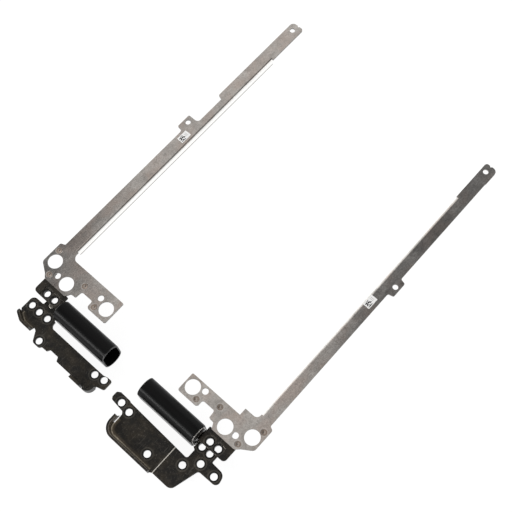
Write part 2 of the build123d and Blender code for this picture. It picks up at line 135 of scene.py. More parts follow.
class SheetSettings(bpy.types.PropertyGroup):
    """Finish of the stamped sheet-metal brackets."""

    lid_break: bpy.props.FloatProperty(
        name="Lid bracket edge", description="How far the silver sheet's edges are rounded by the press",
        default=0.12 * MM, min=0.0, unit="LENGTH",
    )
    base_break: bpy.props.FloatProperty(
        name="Base bracket edge", description="How far the black sheet's edges are rounded by the press",
        default=0.14 * MM, min=0.0, unit="LENGTH",
    )
    steel: bpy.props.FloatVectorProperty(
        name="Plated steel", description="Colour of the silver brackets", subtype="COLOR", size=3,
        default=(0.53, 0.512, 0.492), min=0.0, max=1.0,
    )
    steel_blush: bpy.props.FloatVectorProperty(
        name="Plating blush", description="Warm tint that clouds the silver brackets",
        subtype="COLOR", size=3, default=(0.52, 0.46, 0.425), min=0.0, max=1.0,
    )
    coating: bpy.props.FloatVectorProperty(
        name="Black coating", description="Colour of the base brackets and the leaves",
        subtype="COLOR", size=3, default=(0.0095, 0.009, 0.008), min=0.0, max=1.0,
    )
    coating_tint: bpy.props.FloatVectorProperty(
        name="Coating tint", description="Brown sheen that clouds the black coating",
        subtype="COLOR", size=3, default=(0.033, 0.026, 0.017), min=0.0, max=1.0,
    )


class BarrelSettings(bpy.types.PropertyGroup):
    """Finish of the barrels and what runs in them."""

    cover: bpy.props.FloatVectorProperty(
        name="Barrel black", description="Colour of the oval barrels", subtype="COLOR", size=3,
        default=(0.0036, 0.0036, 0.0038), min=0.0, max=1.0,
    )
    shaft: bpy.props.FloatVectorProperty(
        name="Bright steel", description="Colour of the nuts and rivets", subtype="COLOR", size=3,
        default=(0.40, 0.38, 0.34), min=0.0, max=1.0,
    )
    spring: bpy.props.FloatVectorProperty(
        name="Spring steel", description="Colour of washers, springs and link plates",
        subtype="COLOR", size=3, default=(0.22, 0.21, 0.20), min=0.0, max=1.0,
    )
    edge_break: bpy.props.FloatProperty(
        name="Turned edge", description="How far the edges of barrels and inner pieces are broken",
        default=0.07 * MM, min=0.0, unit="LENGTH",
    )


class LabelSettings(bpy.types.PropertyGroup):
    """The small paper stickers on the arms."""

    paper: bpy.props.FloatVectorProperty(
        name="Paper", description="Colour of the stickers", subtype="COLOR", size=3,
        default=(0.92, 0.92, 0.91), min=0.0, max=1.0,
    )
    ink: bpy.props.FloatVectorProperty(
        name="Ink", description="Colour of the sticker's print", subtype="COLOR", size=3,
        default=(0.02, 0.02, 0.022), min=0.0, max=1.0,
    )


class StageSettings(bpy.types.PropertyGroup):
    """Floor, lamps and camera."""

    floor: bpy.props.FloatVectorProperty(
        name="Floor", description="Colour of the plain floor", subtype="COLOR", size=3,
        default=(0.93, 0.93, 0.93), min=0.0, max=1.0,
    )
    horizon: bpy.props.FloatProperty(
        name="Walls", description="How bright the room's walls are", default=0.88, min=0.0, max=1.0,
    )
    zenith: bpy.props.FloatProperty(
        name="Overhead", description="How bright the room is straight overhead", default=0.19,
        min=0.0, max=1.0,
    )
    azimuth: bpy.props.FloatProperty(
        name="Azimuth", description="Where the camera stands round the pair", subtype="ANGLE",
        default=math.radians(47.98),
    )
    elevation: bpy.props.FloatProperty(
        name="Elevation", description="How high the camera looks down from", subtype="ANGLE",
        default=math.radians(69.02),
    )
    roll: bpy.props.FloatProperty(
        name="Roll", description="How far the camera is turned about its line of sight", subtype="ANGLE",
        default=math.radians(-6.51),
    )
    distance: bpy.props.FloatProperty(
        name="Distance", description="From the camera to its target", default=0.3681, min=0.05, unit="LENGTH",
    )
    lens: bpy.props.FloatProperty(
        name="Lens", description="Focal length in millimetres", default=67.71, min=10.0,
    )
    target: bpy.props.FloatVectorProperty(
        name="Target", description="The point that the camera looks at", subtype="XYZ", size=3,
        default=(0.00585, -0.00111, 0.0113),
    )


def settings():
    """The scene's hinge settings."""
    return bpy.context.scene.hinge_pair


def deselect():
    """Leaves nothing selected."""
    bpy.ops.object.select_all(action="DESELECT")


def activate(obj):
    """Selects one object alone."""
    deselect()
    obj.hide_viewport = False
    obj.select_set(True)
    bpy.context.view_layer.objects.active = obj


def body_of(node):
    """The body that a node of the frame rides on."""
    for body, members in frame["record"]["behaviour"]["bodies"].items():
        if node in members:
            return body
    raise ValueError(f"no body holds {node}")


def spot(side, x, y):
    """A place in one hinge's own frame, turned into metres in the scene."""
    low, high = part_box(f"{side}_barrel_cover")
    shaft_y = (low.y + high.y) / 2
    inward = (x - BARREL_MOUTH) * MM
    place_x = high.x + inward if side == "left" else low.x - inward
    return Vector((place_x, shaft_y + y * MM, 0.0))


def spots(side, places):
    """Several places in one hinge's own frame."""
    return [spot(side, *place) for place in places]


def working_copy(node, name):
    """A separate, welded copy of a node's mesh, ready to be finished by hand."""
    activate(frame["nodes"][node])
    bpy.ops.object.duplicate()
    piece = bpy.context.view_layer.objects.active
    piece.name = name
    piece.data.name = name
    for key in list(piece.keys()):
        del piece[key]
    bpy.ops.object.parent_clear(type="CLEAR_KEEP_TRANSFORM")
    bpy.ops.object.mode_set(mode="EDIT")
    bpy.ops.mesh.select_all(action="SELECT")
    bpy.ops.mesh.remove_doubles(threshold=1e-7)
    bpy.ops.mesh.dissolve_limited(angle_limit=math.radians(0.5))
    bpy.ops.object.mode_set(mode="OBJECT")
    return piece


def round_edges(piece, width, segments=2, angle=35.0):
    """Rounds every sharp edge, and gives the rounded strips the piece's second material if it has one."""
    activate(piece)
    bpy.ops.object.modifier_add(type="BEVEL")
    bevel = piece.modifiers[-1]
    bevel.limit_method = "ANGLE"
    bevel.angle_limit = math.radians(angle)
    bevel.width = width
    bevel.segments = segments
    bevel.use_clamp_overlap = True
    bevel.miter_outer = "MITER_ARC"
    bevel.material = 1 if len(piece.data.materials) > 1 else -1
    bpy.ops.object.modifier_apply(modifier=bevel.name)
    bpy.ops.object.shade_smooth_by_angle(angle=math.radians(angle))
    bpy.ops.object.modifier_add(type="WEIGHTED_NORMAL")
    shading = piece.modifiers[-1]
    shading.mode = "FACE_AREA"
    shading.weight = 100
    shading.thresh = 0.001
    shading.keep_sharp = True
    bpy.ops.object.modifier_apply(modifier=shading.name)


def paint(piece, *materials):
    """Gives a piece its materials, with every face on the first."""
    piece.data.materials.clear()
    for material in materials:
        piece.data.materials.append(material)
    for face in piece.data.polygons:
        face.material_index = 0


def stand_for(piece, node):
    """Makes a finished piece ride with a node's body, in the node's stead."""
    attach(piece, body_of(node))
    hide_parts(node)


class Nodes:
    """A material's node tree, with short calls for the nodes used here."""

    def __init__(self, name):
        self.material = bpy.data.materials.new(name)
        self.material.use_nodes = True
        self.tree = self.material.node_tree
        self.tree.nodes.clear()
        self.output = self.tree.nodes.new("ShaderNodeOutputMaterial")
        self.shader = self.tree.nodes.new("ShaderNodeBsdfPrincipled")
        self.link(self.shader.outputs["BSDF"], self.output.inputs["Surface"])
        self.place = self.tree.nodes.new("ShaderNodeTexCoord").outputs["Object"]

    def link(self, source, socket):
        self.tree.links.new(source, socket)

    def mapped(self, scale=(1.0, 1.0, 1.0), turn=0.0, shift=(0.0, 0.0, 0.0)):
        """Object coordinates, shifted, turned about Z and stretched."""
        node = self.tree.nodes.new("ShaderNodeMapping")
        node.inputs["Location"].default_value = shift
        node.inputs["Rotation"].default_value = (0.0, 0.0, turn)
        node.inputs["Scale"].default_value = scale
        self.link(self.place, node.inputs["Vector"])
        return node.outputs["Vector"]

    def noise(self, place, scale, detail=4.0, rough=0.55, distort=0.0):
        """Soft noise with values round a half; a scale of 1000 makes clumps about a millimetre wide."""
        node = self.tree.nodes.new("ShaderNodeTexNoise")
        node.inputs["Scale"].default_value = scale
        node.inputs["Detail"].default_value = detail
        node.inputs["Roughness"].default_value = rough
        node.inputs["Distortion"].default_value = distort
        self.link(place, node.inputs["Vector"])
        return node.outputs["Fac"]

    def ramp(self, value, stops):
        """A value turned into a colour between stops of (position, colour)."""
        node = self.tree.nodes.new("ShaderNodeValToRGB")
        elements = node.color_ramp.elements
        while len(elements) < len(stops):
            elements.new(0.5)
        for element, (position, colour) in zip(elements, stops):
            element.position = position
            element.color = (*colour, 1.0)
        self.link(value, node.inputs["Fac"])
        return node.outputs["Color"]

    def spread(self, value, low, high, start=0.0, end=1.0):
        """A value carried from one range to another."""
        node = self.tree.nodes.new("ShaderNodeMapRange")
        node.inputs["From Min"].default_value = start
        node.inputs["From Max"].default_value = end
        node.inputs["To Min"].default_value = low
        node.inputs["To Max"].default_value = high
        self.link(value, node.inputs["Value"])
        return node.outputs["Result"]

    def ranged(self, noise, low, high):
        """A noise, whose values lie mostly between 0.3 and 0.7, carried to another range."""
        return self.spread(noise, low, high, 0.3, 0.7)

    def maths(self, operation, a, b):
        """One sum of two values, each a number or a socket."""
        node = self.tree.nodes.new("ShaderNodeMath")
        node.operation = operation
        for socket, value in zip(node.inputs, (a, b)):
            if isinstance(value, (int, float)):
                socket.default_value = value
            else:
                self.link(value, socket)
        return node.outputs["Value"]

    def times(self, a, b):
        return self.maths("MULTIPLY", a, b)

    def plus(self, a, b):
        return self.maths("ADD", a, b)

    def vector(self, operation, place, value):
        """One sum of a place and a fixed vector; a distance or a dot product comes out as a number."""
        node = self.tree.nodes.new("ShaderNodeVectorMath")
        node.operation = operation
        node.inputs[1].default_value = value
        self.link(place, node.inputs[0])
        return node.outputs["Value" if operation in ("DISTANCE", "DOT_PRODUCT") else "Vector"]

    def blend(self, factor, a, b, how="MIX"):
        """Two colours mixed by a factor. The mix node's inputs 6 and 7 and its output 2 are colours."""
        node = self.tree.nodes.new("ShaderNodeMix")
        node.data_type = "RGBA"
        node.blend_type = how
        sockets = (node.inputs["Factor"], node.inputs[6], node.inputs[7])
        for socket, value in zip(sockets, (factor, a, b)):
            if isinstance(value, (int, float)):
                socket.default_value = value
            elif isinstance(value, bpy.types.NodeSocket):
                self.link(value, socket)
            else:
                socket.default_value = (*value, 1.0)
        return node.outputs[2]

    def parts(self, place):
        """A place's coordinates as separate numbers."""
        node = self.tree.nodes.new("ShaderNodeSeparateXYZ")
        self.link(place, node.inputs["Vector"])
        return node.outputs

    def nearest(self, places):
        """How far the nearest of several places is, seen from above."""
        flat = self.vector("MULTIPLY", self.place, (1.0, 1.0, 0.0))
        near = None
        for place in places:
            away = self.vector("DISTANCE", flat, (place.x, place.y, 0.0))
            near = away if near is None else self.maths("MINIMUM", near, away)
        return near

    def beyond(self, corner, sides):
        """How far a place lies outside an outline of straight sides, seen from above; each side is given
        by its heading in degrees and its reach from the corner in millimetres."""
        most = None
        for heading, reach in sides:
            way = Vector((math.cos(math.radians(heading)), math.sin(math.radians(heading)), 0.0))
            out = self.maths(
                "SUBTRACT", self.vector("DOT_PRODUCT", self.place, way), way.dot(corner) + reach * MM,
            )
            most = out if most is None else self.maths("MAXIMUM", most, out)
        return most

    def band(self, value, low, high, soft):
        """1 where a length lies between two others, fading out over a soft margin; in millimetres."""
        rise = self.spread(value, 0.0, 1.0, (low - soft) * MM, low * MM)
        fall = self.spread(value, 1.0, 0.0, high * MM, (high + soft) * MM)
        return self.times(rise, fall)

    def within(self, low, high, soft=0.3):
        """1 inside an upright box between two corners, seen from above, fading out at its sides."""
        x, y, _ = self.parts(self.place)
        across = self.band(x, min(low.x, high.x) / MM, max(low.x, high.x) / MM, soft)
        return self.times(across, self.band(y, low.y / MM, high.y / MM, soft))

    def bump(self, height, strength, distance):
        """A height turned into a tilt of the surface; the distance is in metres."""
        node = self.tree.nodes.new("ShaderNodeBump")
        node.inputs["Strength"].default_value = strength
        node.inputs["Distance"].default_value = distance
        self.link(height, node.inputs["Height"])
        return node.outputs["Normal"]

    def finish(self, colour, metallic, roughness, normal=None):
        """Sends colour, metal, roughness and bump to the shader."""
        for name, value in (("Base Color", colour), ("Metallic", metallic), ("Roughness", roughness)):
            socket = self.shader.inputs[name]
            if isinstance(value, bpy.types.NodeSocket):
                self.link(value, socket)
            elif isinstance(value, (int, float)):
                socket.default_value = value
            else:
                socket.default_value = (*value, 1.0)
        if normal is not None:
            self.link(normal, self.shader.inputs["Normal"])
        return self.material


def scaled(colour, factor):
    """A colour made lighter or darker."""
    return tuple(min(1.0, c * factor) for c in colour)


def plated_steel(name, colour, blush, welds):
    """Dull nickel plating: warm clouds, fine speckle, a faint rolled grain and browned spot welds."""
    n = Nodes(name)
    clouds = n.noise(n.mapped((1.0, 0.6, 1.0)), 170.0, 5.0, 0.62, 0.6)
    mottle = n.noise(n.mapped(), 620.0, 3.0, 0.6)
    speckle = n.noise(n.mapped(), 1900.0, 2.0, 0.6)
    tone = n.ramp(clouds, [(0.34, scaled(colour, 0.76)), (0.50, colour), (0.64, scaled(colour, 1.18))])
    warm = n.noise(n.mapped((1.0, 0.7, 1.0), 0.4, (3.0, 1.0, 0.0)), 150.0, 3.0, 0.55)
    tone = n.blend(n.spread(warm, 0.0, 0.8, 0.44, 0.62), tone, blush)
    tone = n.blend(n.spread(mottle, 0.0, 0.5, 0.50, 0.72), tone, scaled(colour, 0.66))
    fleck = n.ramp(speckle, [(0.30, (0.78, 0.77, 0.75)), (0.50, (1.0, 1.0, 1.0)), (0.70, (1.16, 1.16, 1.16))])
    tone = n.blend(0.8, tone, fleck, "MULTIPLY")
    # Each spot weld is a tinted dimple in a scorched ring, with a painted highlight as a lighter ring round
    # it.
    away = n.nearest(welds)
    burnt = n.band(away, 0.8, 1.0, 0.25)
    tone = n.blend(n.times(burnt, 0.7), tone, SCORCHED)
    tone = n.blend(n.times(n.band(away, 0.0, 0.7, 0.3), 0.35), tone, HEAT_TINT)
    # A painted highlight: a lighter ring round each weld.
    tone = n.blend(n.times(n.band(away, 1.35, 1.5, 0.2), 0.35), tone, scaled(colour, 1.4))
    grain = n.noise(n.mapped((1.0, 0.03, 1.0)), 3800.0, 2.0, 0.5)
    rough = n.plus(n.ranged(clouds, 0.13, 0.21), n.ranged(grain, -0.02, 0.04))
    rough = n.plus(rough, n.times(burnt, 0.25))
    relief = n.plus(n.times(grain, 0.3), n.times(speckle, 0.7))
    relief = n.plus(relief, n.times(n.band(away, 0.0, 1.05, 0.35), -4.0))
    return n.finish(tone, 1.0, rough, n.bump(relief, 0.16, 0.00006))


def lit_flange_plating(name, colour, low):
    """A lighter copy of the plating on the arm's folded flange, partly its shinier plating and partly a
    painted reflection of the white floor it mirrors, down to the dull cut at its lowest edge, whose height is
    given."""
    n = Nodes(name)
    grain = n.noise(n.mapped((1.0, 0.04, 1.0)), 2400.0, 2.0, 0.5)
    tone = n.ramp(grain, [(0.3, scaled(colour, 0.94)), (0.7, scaled(colour, 1.04))])
    height = n.parts(n.place)[2]
    dull = n.spread(height, 0.9, 0.0, low + CUT_HEIGHT * MM, low + (CUT_HEIGHT + CUT_FADE) * MM)
    return n.finish(n.blend(dull, tone, DULL_CUT), 1.0, 0.2)


def sheared_and_shaded_steel(name, colour):
    """The punched edge of the silver sheet: duller, with fine streaks across its thickness, and darker still
    as painted shade along the sheet's rounded edges and at the fold of its flange.
    """
    n = Nodes(name)
    streaks = n.noise(n.mapped((1.0, 1.0, 0.12)), 2600.0, 3.0, 0.6)
    tone = n.ramp(streaks, [(0.35, scaled(colour, 0.30)), (0.65, scaled(colour, 0.62))])
    return n.finish(tone, 1.0, n.ranged(streaks, 0.34, 0.52), n.bump(streaks, 0.25, 0.00005))


def coated_steel(name, colour, tint, holes, rim=None, step=None):
    """Black oxide on rolled steel: brown bloom, fine worn specks, hazy scratches, a dark ring and a pale one
    round each screw hole, and painted highlights, lighter bands and lines where a bent-up rim and a pressed
    step catch the light. A rim is one of RIMS with its places turned into the scene's; a step lies between
    two places along X, in millimetres."""
    n = Nodes(name)
    clouds = n.noise(n.mapped(), 190.0, 4.0, 0.6, 0.3)
    tone = n.blend(n.spread(clouds, 0.0, 1.0, 0.42, 0.70), colour, tint)
    mottle = n.noise(n.mapped(shift=(7.0, 2.0, 0.0)), 560.0, 4.0, 0.65)
    tone = n.blend(n.spread(mottle, 0.0, 0.45, 0.52, 0.78), tone, RUBBED_BROWN)
    specks = n.noise(n.mapped(), 2100.0, 3.0, 0.7)
    tone = n.blend(n.spread(specks, 0.0, 0.5, 0.60, 0.74), tone, RUBBED_GREY)
    tone = n.blend(n.spread(specks, 0.8, 0.0, 0.30, 0.44), tone, scaled(colour, 0.3))
    scratch = n.noise(n.mapped((1.0, 0.06, 1.0), 0.7), 1700.0, 2.0, 0.5)
    lines = n.spread(scratch, 0.0, 0.42, 0.65, 0.76)
    tone = n.blend(lines, tone, SCRATCHED)
    away = n.nearest(holes)
    tone = n.blend(n.times(n.band(away, 2.1, 2.3, 0.3), 0.16), tone, SCREW_RUB)
    tone = n.blend(n.times(n.band(away, 0.0, 1.75, 0.2), 0.85), tone, scaled(colour, 0.30))
    if rim:
        # Painted highlights: a bronze haze, a bright line in it and a thin line on the crest run side by side
        # along the bend, and the first two fade out away from the outline's corner.
        inside = n.within(*rim["box"])
        out = n.beyond(rim["corner"], rim["sides"])
        glint = rim["glint"]
        near = n.spread(n.nearest([rim["corner"]]), glint, 0.3 * glint, 3.0 * MM, 11.0 * MM)
        haze = n.times(n.band(out, -1.6, -0.95, 0.9), n.times(near, 0.5))
        tone = n.blend(n.times(haze, inside), tone, HIGHLIGHT_HAZE)
        patchy = n.times(n.spread(mottle, 0.35, 1.0, 0.35, 0.60), inside)
        # A painted highlight: the bright line along the bend, in patches.
        bare = n.times(n.band(out, -1.25, -0.92, 0.15), n.times(near, patchy))
        tone = n.blend(bare, tone, BEND_HIGHLIGHT)
        # A painted highlight: the thin line along the rim's crest.
        crest = n.times(n.band(out, -0.46, -0.38, 0.08), 0.4 * glint)
        tone = n.blend(n.times(crest, inside), tone, CREST_HIGHLIGHT)
    if step:
        # A painted highlight: a pale line along the pressed step, in patches.
        line = n.band(n.parts(n.place)[0], *step, 0.04)
        patchy = n.spread(specks, 0.55, 1.0, 0.30, 0.50)
        tone = n.blend(n.times(line, patchy), tone, STEP_HIGHLIGHT)
    pits = n.noise(n.mapped(), 2600.0, 3.0, 0.6)
    rough = n.plus(n.ranged(clouds, 0.30, 0.42), n.times(pits, 0.08))
    relief = n.plus(pits, n.times(lines, -0.5))
    n.shader.inputs["Specular IOR Level"].default_value = 0.32
    return n.finish(tone, 0.15, rough, n.bump(relief, 0.22, 0.00005))


def worn_and_highlit_edge(name, colour, bare):
    """A thin edge or a plate, blotched from one colour to another here and there: wear on most pieces; on the
    outer ends of the barrels and the edges of their plates, a painted highlight on the right and painted
    shade on the left.
    """
    n = Nodes(name)
    rub = n.noise(n.mapped(), 420.0, 5.0, 0.65, 0.5)
    tone = n.blend(n.spread(rub, 0.0, 1.0, 0.45, 0.63), colour, bare)
    return n.finish(tone, 0.9, n.ranged(rub, 0.28, 0.42))


def barrel_black(name, colour):
    """Smooth matt black coating with a very fine grain."""
    n = Nodes(name)
    grain = n.noise(n.mapped(), 5200.0, 2.0, 0.5)
    smear = n.noise(n.mapped((0.35, 1.0, 1.0)), 260.0, 4.0, 0.6)
    tone = n.blend(n.spread(smear, 0.0, 0.45, 0.5, 0.8), colour, scaled(colour, 1.9))
    rough = n.ranged(smear, 0.27, 0.34)
    n.shader.inputs["Specular IOR Level"].default_value = 0.11
    return n.finish(tone, 0.0, rough, n.bump(grain, 0.22, 0.00003))


def turned_steel(name, colour, stretch):
    """Turned or ground steel with faint stains. Its fine lines run along the axes whose stretch is small."""
    n = Nodes(name)
    rings = n.noise(n.mapped(stretch), 2400.0, 3.0, 0.6)
    stain = n.noise(n.mapped(), 380.0, 4.0, 0.6)
    tone = n.blend(n.spread(stain, 0.0, 0.7, 0.45, 0.75), colour, scaled(colour, 0.55))
    rough = n.plus(n.ranged(rings, 0.20, 0.32), n.spread(stain, 0.0, 0.1, 0.4, 0.7))
    return n.finish(tone, 1.0, rough, n.bump(rings, 0.2, 0.00003))


def printed_paper(name, paper, ink, centre):
    """White sticker paper with a square of random cells and two plain grey bars over it."""
    n = Nodes(name)
    on_paper = n.vector("ADD", n.place, (-centre.x, -centre.y, 0.0))
    x, y, _ = n.parts(on_paper)

    def between(value, low, high):
        above = n.maths("GREATER_THAN", value, low * MM)
        return n.times(above, n.maths("LESS_THAN", value, high * MM))

    random = n.tree.nodes.new("ShaderNodeTexWhiteNoise")
    random.noise_dimensions = "2D"
    cell = CODE_CELL * MM
    n.link(n.vector("SNAP", on_paper, (cell, cell, 1.0)), random.inputs["Vector"])
    dots = n.maths("GREATER_THAN", random.outputs["Value"], 0.45)
    code = n.times(dots, n.times(between(x, -1.15, 1.15), between(y, -2.1, 0.4)))
    bars = n.plus(between(y, 0.85, 1.08), between(y, 1.45, 1.68))
    bars = n.times(bars, between(x, -0.9, 0.7))
    mark = n.maths("MINIMUM", n.plus(code, n.times(bars, 0.4)), 1.0)
    fibre = n.noise(n.mapped(), 2400.0, 4.0, 0.6)
    sheet = n.blend(n.spread(fibre, 0.0, 0.25, 0.4, 0.8), paper, scaled(paper, 0.88))
    tone = n.blend(mark, sheet, ink)
    return n.finish(tone, 0.0, n.ranged(fibre, 0.55, 0.68), n.bump(fibre, 0.2, 0.00002))


def materials():
    """All finishes but the stickers', made once and kept by name."""
    if "barrel black" not in bpy.data.materials:
        make_sheet_finishes(settings().sheet)
        make_barrel_finishes(settings().barrel)
    return bpy.data.materials


def make_sheet_finishes(s):
    """The finishes of the silver brackets, the leaves and the base brackets."""
    steel, coat, tint = tuple(s.steel), tuple(s.coating), tuple(s.coating_tint)
    for side in SIDES:
        plated_steel(f"plated steel, {side}", steel, tuple(s.steel_blush), spots(side, WELDS))
        coated_steel(f"black leaf steel, {side}", coat, tint, spots(side, LEAF_HOLES))
        rim = dict(RIMS[side], corner=spot(side, *RIMS[side]["corner"]), box=spots(side, RIMS[side]["box"]))
        step = sorted(spot(side, x, 0.0).x / MM for x in STEP) if side == "right" else None
        coated_steel(f"black base steel, {side}", coat, tint, spots(side, BASE_HOLES[side]), rim, step)
    sheared_and_shaded_steel("sheared steel and edge shade", steel)
    lit_flange_plating("flange plating, lit copy", (0.95, 0.94, 0.92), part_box("left_lid_bracket")[0].z)
    worn_and_highlit_edge("worn coating edge", scaled(coat, 0.9), (0.40, 0.365, 0.32))


def make_barrel_finishes(s):
    """The finishes of the barrels and of what runs in them. The outer ends of the barrels and the edges of
    their end plates are lit and shaded copies: painted shade keeps the left ones dark, and a painted
    highlight makes the right ones light."""
    barrel_black("barrel black", tuple(s.cover))
    worn_and_highlit_edge("barrel edge", (0.035, 0.035, 0.036), (0.16, 0.16, 0.16))
    worn_and_highlit_edge("barrel end, left", (0.008, 0.008, 0.008), (0.03, 0.03, 0.03))
    worn_and_highlit_edge("barrel end, right", (0.02, 0.02, 0.02), (0.20, 0.20, 0.19))
    worn_and_highlit_edge("end plate edge, left", (0.03, 0.028, 0.026), (0.12, 0.113, 0.105))
    worn_and_highlit_edge("end plate edge, right", (0.55, 0.53, 0.50), (0.75, 0.73, 0.70))
    worn_and_highlit_edge("black oxide", (0.010, 0.0095, 0.009), (0.035, 0.031, 0.027))
    worn_and_highlit_edge("bare edge", (0.45, 0.43, 0.39), (0.62, 0.60, 0.56))
    turned_steel("turned steel", tuple(s.shaft), (0.08, 1.0, 1.0))
    turned_steel("spring steel", tuple(s.spring), (1.0, 0.1, 0.1))


class HINGE_OT_lid_brackets(bpy.types.Operator):
    """Dress the two silver lid brackets as stamped, plated sheet steel"""

    bl_idname = "hinge.lid_brackets"
    bl_label = "Lid brackets"

    def execute(self, context):
        kept = materials()
        for side in SIDES:
            piece = working_copy(f"{side}_lid_bracket", f"{side}_stamped_lid_bracket")
            # The sheared finish is duller cut steel, and also painted shade on the rounded edges and at the
            # fold.
            paint(piece, kept[f"plated steel, {side}"], kept["sheared steel and edge shade"], kept["flange plating, lit copy"])
            round_edges(piece, settings().sheet.lid_break)
            # The folded flange takes the lighter copy of the plating, a painted reflection.
            mark_upright_faces(piece, 1, 2)
            stand_for(piece, f"{side}_lid_bracket")
        return {"FINISHED"}


def mark_upright_faces(piece, cut, flange):
    """Gives the punched sides of a silver sheet one material, and another to the folded flange and to
    the long slanting strips of its bend."""
    under = max(corner.co.z for corner in piece.data.vertices) - FOLDED_DEPTH * MM
    for face in piece.data.polygons:
        level = abs(face.normal.z)  # 1 on a face that lies flat, 0 on an upright one
        slanting = 0.05 < level < 0.8
        if face.center.z < under or (slanting and face.area > BEND_STRIP * MM * MM):
            face.material_index = flange
        elif level < 0.3:
            face.material_index = cut


class HINGE_OT_lid_leaves(bpy.types.Operator):
    """Dress the black stepped leaves under the lid brackets"""

    bl_idname = "hinge.lid_leaves"
    bl_label = "Lid leaves"

    def execute(self, context):
        kept = materials()
        for side in SIDES:
            piece = working_copy(f"{side}_lid_leaf", f"{side}_stepped_lid_leaf")
            paint(piece, kept[f"black leaf steel, {side}"], kept["worn coating edge"])
            round_edges(piece, settings().sheet.base_break)
            stand_for(piece, f"{side}_lid_leaf")
        return {"FINISHED"}


class HINGE_OT_base_brackets(bpy.types.Operator):
    """Dress the two black base brackets as stamped, coated sheet steel"""

    bl_idname = "hinge.base_brackets"
    bl_label = "Base brackets"

    def execute(self, context):
        kept = materials()
        for side in SIDES:
            piece = working_copy(f"{side}_base_bracket", f"{side}_stamped_base_bracket")
            paint(piece, kept[f"black base steel, {side}"], kept["worn coating edge"])
            round_edges(piece, settings().sheet.base_break)
            stand_for(piece, f"{side}_base_bracket")
        return {"FINISHED"}


class HINGE_OT_barrels(bpy.types.Operator):
    """Dress the oval barrels and their end plates"""

    bl_idname = "hinge.barrels"
    bl_label = "Barrels"

    def execute(self, context):
        kept = materials()
        for side in SIDES:
            cover = working_copy(f"{side}_barrel_cover", f"{side}_oval_barrel")
            paint(cover, kept["barrel black"], kept["barrel edge"], kept[f"barrel end, {side}"])
            round_edges(cover, settings().barrel.edge_break)
            # Edges away from the mouth take the outer end's finish: a painted highlight on the right, painted
            # shade on the left.
            mouth = spot(side, BARREL_MOUTH, 0.0).x
            for face in cover.data.polygons:
                if face.material_index == 1 and abs(face.center.x - mouth) > MOUTH_REACH * MM:
                    face.material_index = 2
            stand_for(cover, f"{side}_barrel_cover")
            plate = working_copy(f"{side}_end_plate", f"{side}_barrel_end_plate")
            # The plate's edges take a painted highlight on the right and painted shade on the left.
            paint(plate, kept["black oxide"], kept[f"end plate edge, {side}"])
            round_edges(plate, settings().barrel.edge_break)
            stand_for(plate, f"{side}_end_plate")
        return {"FINISHED"}


class HINGE_OT_friction_stacks(bpy.types.Operator):
    """Dress the shafts, washers, springs, nuts, link plates and rivets"""

    bl_idname = "hinge.friction_stacks"
    bl_label = "Friction stacks"

    def execute(self, context):
        kept = materials()
        finishes = {
            "lid_shaft": ("black oxide", "bare edge"), "base_shaft": ("black oxide", "bare edge"),
            "lid_nut": ("turned steel",), "base_nut": ("turned steel",),
            "lid_washers": ("spring steel",), "base_washers": ("spring steel",),
            "lid_disc_springs": ("spring steel",), "base_disc_springs": ("spring steel",),
            "link_plates": ("spring steel",),
        }
        for side in SIDES:
            for part, names in finishes.items():
                dress_inner(f"{side}_{part}", *(kept[name] for name in names))
        dress_inner("left_base_rivets", kept["turned steel"])
        return {"FINISHED"}


def dress_inner(node, *finishes):
    """Finishes a turned or punched inner piece and breaks its edges."""
    piece = working_copy(node, f"{node}_finished")
    paint(piece, *finishes)
    round_edges(piece, settings().barrel.edge_break)
    stand_for(piece, node)


class HINGE_OT_labels(bpy.types.Operator):
    """Model the small paper stickers on the arms"""

    bl_idname = "hinge.labels"
    bl_label = "Labels"

    def execute(self, context):
        s = settings().label
        for side in SIDES:
            node = f"{side}_code_label"
            low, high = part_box(node)
            piece = working_copy(node, f"{side}_paper_sticker")
            name = f"printed paper, {side}"
            paint(piece, printed_paper(name, tuple(s.paper), tuple(s.ink), (low + high) / 2))
            round_edges(piece, PAPER_BREAK * MM, 1)
            stand_for(piece, node)
        return {"FINISHED"}


class HINGE_OT_stage(bpy.types.Operator):
    """Set the floor, the lamps and the camera"""

    bl_idname = "hinge.stage"
    bl_label = "Stage"

    def execute(self, context):
        s = settings().stage
        add_floor(tuple(s.floor))
        add_world()
        add_lamps()
        add_camera(s)
        context.scene.view_settings.view_transform = "Standard"
        return {"FINISHED"}


